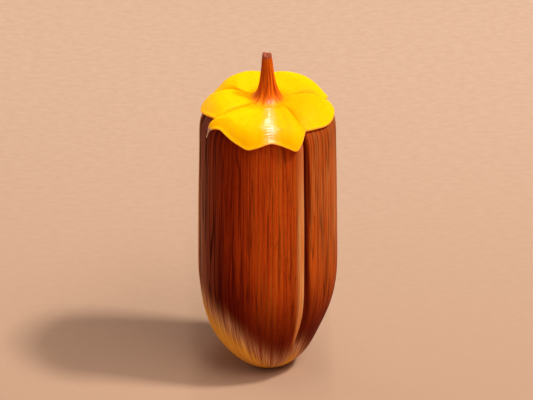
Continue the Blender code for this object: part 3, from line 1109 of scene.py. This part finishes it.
@dataclass(frozen=True)
class StalkFinish:
    """Ribbed brown stalk, bright orange towards its base, with a pale pink cut end.

    Attributes:
        base: Height of the stalk's base, in millimetres.
        top: Height of its cut end, in millimetres.
    """

    base: float
    top: float

    def make(self) -> bpy.types.Material:
        """Builds the material."""
        bench = Bench("stalk_bark")
        at = Bearings(bench)
        fibres = at.streaks(7.0, 0.14, 4.0, 0.65)
        rise = (at.z - self.base) / (self.top - self.base)
        bright = fibres.rise(0.44, 0.66) * (1 - rise.rise(0.3, 1.0) * 0.7)
        tongues = at.radius + at.back * 0.25 + (fibres - 0.5) * 3.0
        yellow = tongues.rise(2.1, 3.1)
        cut = (at.z + (fibres - 0.5) * 1.5).rise(self.top - 1.0, self.top - 0.5)
        tone = bench.layered(
            Tone.STALK_DARK,
            (fibres.rise(0.37, 0.6), Tone.STALK),
            (bright * 0.8, Tone.STALK_BRIGHT),
            (tongues.rise(1.3, 2.2) * 0.5, Tone.STALK_BRIGHT),
            (yellow * 0.8, Tone.PETAL_WARM),
            (cut * 0.8, Tone.STALK_CUT),
        )
        shine = at.x.near(0.3, 0.2, 1.5) * at.radius.rise(1.8, 2.5) * fibres.rise(0.38, 0.6)
        bench.feed(
            Base_Color=tone,
            Roughness=0.5 + fibres * 0.2,
            Specular_IOR_Level=0.05,
            Emission_Color=bench.mix(yellow * 0.6, Tone.UNLIT, Tone.PETAL_GLOW),
            Emission_Strength=PETAL_GLOW_STRENGTH,
            Coat_Weight=shine * 0.6,
            Coat_Roughness=0.35,
            Coat_IOR=1.9,
        )
        bench.bump(fibres, 0.05 * MM)
        return bench.material


@dataclass
class RibbedStalk:
    """The stalk: a flare that melts into the petals' roots, and a ribbed horn with a split end.

    Attributes:
        outline: Radius and height of its rings, in millimetres.
        sides: Points a ring has before it is rounded.
        ribs: How many ribs it has.
        lean: How far it leans to the right.
        fibre: Fine fibres that run up it.
        knots: What makes its ribs wander.
    """

    outline: Profile = (
        (2.2, 48.2), (3.0, 48.3), (3.6, 48.45), (3.8, 48.6), (3.62, 48.72), (3.27, 48.85),
        (2.95, 48.98), (2.64, 49.15), (2.38, 49.35), (2.14, 49.6), (1.93, 49.9), (1.73, 50.25),
        (1.58, 50.7), (1.44, 51.2), (1.32, 51.75), (1.22, 52.4), (1.12, 53.1), (1.04, 53.7),
        (0.97, 54.3), (0.92, 54.9), (0.87, 55.5), (0.83, 56.0), (0.76, 56.45), (0.72, 56.8),
        (0.64, 57.02), (0.42, 57.08), (0.2, 57.05),
    )
    sides: int = 54
    ribs: int = 11
    lean: float = -0.14 * MM
    fibre: Grain = Grain(around=44, up=4, seed=41)
    knots: Grain = Grain(around=7, up=2, seed=43)

    def build(self) -> None:
        """Models, carves and delivers the stalk."""
        outline = [(radius * MM, z * MM) for radius, z in self.outline]
        piece = Workshop.ring_stack("ribbed_stalk", outline, self.sides)
        Workshop.subdivide(piece, 2)
        Workshop.carve(piece, self.carved(Workshop.points(piece)))
        base, top = self.outline[0][1], self.outline[-2][1]
        Workshop.deliver(piece, StalkFinish(base, top).make(), "stalk", "stalk")

    def carved(self, points: np.ndarray) -> np.ndarray:
        """Where the points of the round stalk move, for its ribs, fibres, lean and split end."""
        x, y, z = points.T
        radius = np.hypot(x, y)
        azimuth = np.degrees(np.arctan2(x, -y))
        low, top = self.outline[3][1] * MM, self.outline[-3][1] * MM
        rise = np.clip((z - low) / (top - low), 0, 1)
        turn = azimuth / 360 + 0.02 * rise
        ribs = 0.045 * np.cos(turn * 2 * math.pi * self.ribs + 2 * self.knots(turn, rise))
        tongues = 0.05 * self.knots(turn * 2, rise) * (1 - smooth_step(0, 0.12, rise))
        above = 0.35 + 0.65 * smooth_step(0.06, 0.25, rise)
        radius = radius * (1 + ribs * above + tongues + 0.03 * self.fibre(turn, rise))
        flare = 1 - smooth_step(0, 0.12, rise)
        radius = radius * (1 - 0.12 * flare * smooth_step(70, 120, np.abs(azimuth)))
        near_cut = smooth_step(top - 0.45 * MM, top, z)
        split = np.abs(np.cos(np.radians(azimuth + 12))) ** 3
        radius = radius * (1 + 0.1 * near_cut * (1 - 2 * split))
        z = z - 0.3 * MM * near_cut * split
        lean = self.lean * (smooth_step(0, 1, rise) ** 2 + 1.3 * flare)
        return round_points(azimuth, radius, z, lean)


@dataclass(frozen=True)
class FloorFinish:
    """Plain pale matt floor with a faint tooth."""

    def make(self) -> bpy.types.Material:
        """Builds the material."""
        bench = Bench("floor_matt")
        place = bench.place()
        _, back, _ = bench.parts(place)
        tooth = bench.noise(bench.scaled(place, (0.55, 0.9, 1.0)), 4.0, 0.6)
        tone = bench.mix(back.rise(-60.0, 150.0), Tone.FLOOR_NEAR, Tone.FLOOR_FAR)
        tone = bench.mix(tooth.rise(0.3, 0.7) * 0.28, tone, Tone.FLOOR_NEAR)
        bench.feed(Base_Color=tone, Roughness=0.95, Specular_IOR_Level=0.1)
        return bench.material


@dataclass(frozen=True)
class Lamp:
    """A soft rectangular lamp that points at the nut.

    Attributes:
        name: Its name.
        azimuth: Where it stands, in degrees from the front towards the right.
        elevation: How high it stands, in degrees.
        distance: How far from the nut it stands.
        size: Its width and height.
        power: In watts.
        colour: The colour of its light.
        aside: How far to the right it is moved, with the point that it faces.
    """

    name: str
    azimuth: float
    elevation: float
    distance: float
    size: tuple[float, float]
    power: float
    colour: Colour = (1.0, 1.0, 1.0)
    aside: float = 0.0

    def place(self, target: Vector) -> None:
        """Adds the lamp.

        Args:
            target: The point that it lights.
        """
        turn, tilt = math.radians(self.azimuth), math.radians(self.elevation)
        flat = self.distance * math.cos(tilt)
        height = self.distance * math.sin(tilt)
        away = Vector((flat * math.sin(turn), -flat * math.cos(turn), height))
        light = bpy.data.lights.new(self.name, "AREA")
        light.shape = "RECTANGLE"
        light.size, light.size_y = self.size
        light.energy = self.power
        light.color = self.colour
        lamp = bpy.data.objects.new(self.name, light)
        lamp.location = target + away + Vector((self.aside, 0, 0))
        lamp.rotation_euler = away.to_track_quat("Z", "Y").to_euler()
        bpy.context.scene.collection.objects.link(lamp)


@dataclass(frozen=True)
class Studio:
    """The floor, the soft light and the camera.

    Attributes:
        elevation: How far the camera looks down, in degrees.
        lens: Its focal length in millimetres.
        sensor: Its sensor's width in millimetres.
        view_width: How wide a view it has at the nut.
        aim: The point that it looks at.
        clip: The nearest and farthest that it sees.
        floor_size: How wide the floor is.
        middle: Height of the point that the lamps face.
        lamps: The lamps.
        sky: The colour of the even light.
        sky_strength: How strong it is.
    """

    elevation: float = 27.0
    lens: float = 400.0
    sensor: float = 36.0
    view_width: float = 88.24 * MM
    aim: tuple[float, float, float] = (-0.2 * MM, 1.24 * MM, 29.44 * MM)
    clip: tuple[float, float] = (0.05, 20)
    floor_size: float = 6
    middle: float = 30 * MM
    lamps: tuple[Lamp, ...] = (
        Lamp("key", 79, 57, 1.4, (0.16, 0.16), 15.6, (1.0, 0.99, 0.945)),
        Lamp("fill", 46, 56, 1.4, (0.9, 0.5), 7.0, (1.0, 0.93, 0.87)),
        Lamp("top", 0, 88, 1.0, (0.3, 0.3), 1.2, (1.0, 0.88, 0.84)),
        Lamp("strip", 0, 74, 0.70, (0.016, 2.4), 3.2, aside=0.03),
        Lamp("rim", -135, 10, 0.75, (0.2, 0.3), 1.4, (1.0, 0.88, 0.78)),
    )
    sky: Colour = (1.0, 0.75, 0.68)
    sky_strength: float = 0.08

    def build(self) -> None:
        """Sets up the studio."""
        self.lay_floor()
        for lamp in self.lamps:
            lamp.place(Vector((0, 0, self.middle)))
        self.light_sky()
        self.set_camera()

    def lay_floor(self) -> None:
        """Lays the plain pale floor."""
        bpy.ops.object.select_all(action="DESELECT")
        bpy.ops.mesh.primitive_plane_add(size=self.floor_size, location=(0, 0, 0))
        floor = bpy.context.object
        floor.name = floor.data.name = "floor"
        floor.data.materials.append(FloorFinish().make())

    def light_sky(self) -> None:
        """Gives the even light that reaches the shadows."""
        world = bpy.data.worlds.new("studio")
        world.use_nodes = True
        sky = world.node_tree.nodes["Background"]
        sky.inputs["Color"].default_value = (*self.sky, 1)
        sky.inputs["Strength"].default_value = self.sky_strength
        bpy.context.scene.world = world
        bpy.context.scene.view_settings.view_transform = "Standard"

    def set_camera(self) -> None:
        """Sets the camera at the photograph's viewing angle."""
        distance = self.lens / self.sensor * self.view_width
        tilt = math.radians(self.elevation)
        data = bpy.data.cameras.new("camera")
        data.lens, data.sensor_width = self.lens, self.sensor
        data.clip_start, data.clip_end = self.clip
        camera = bpy.data.objects.new("camera", data)
        away = Vector((0, -math.cos(tilt), math.sin(tilt))) * distance
        camera.location = Vector(self.aim) + away
        camera.rotation_euler = (math.pi / 2 - tilt, 0, 0)
        bpy.context.scene.collection.objects.link(camera)
        bpy.context.scene.camera = camera


def main() -> None:
    """Builds the nut piece by piece, then the studio round it."""
    logging.basicConfig(level=logging.INFO, format="%(name)s: %(message)s")
    WoodyShell(ShellForm()).build()
    PetalCap().build()
    RibbedStalk().build()
    Studio().build()


if __name__ == "__main__":
    main()
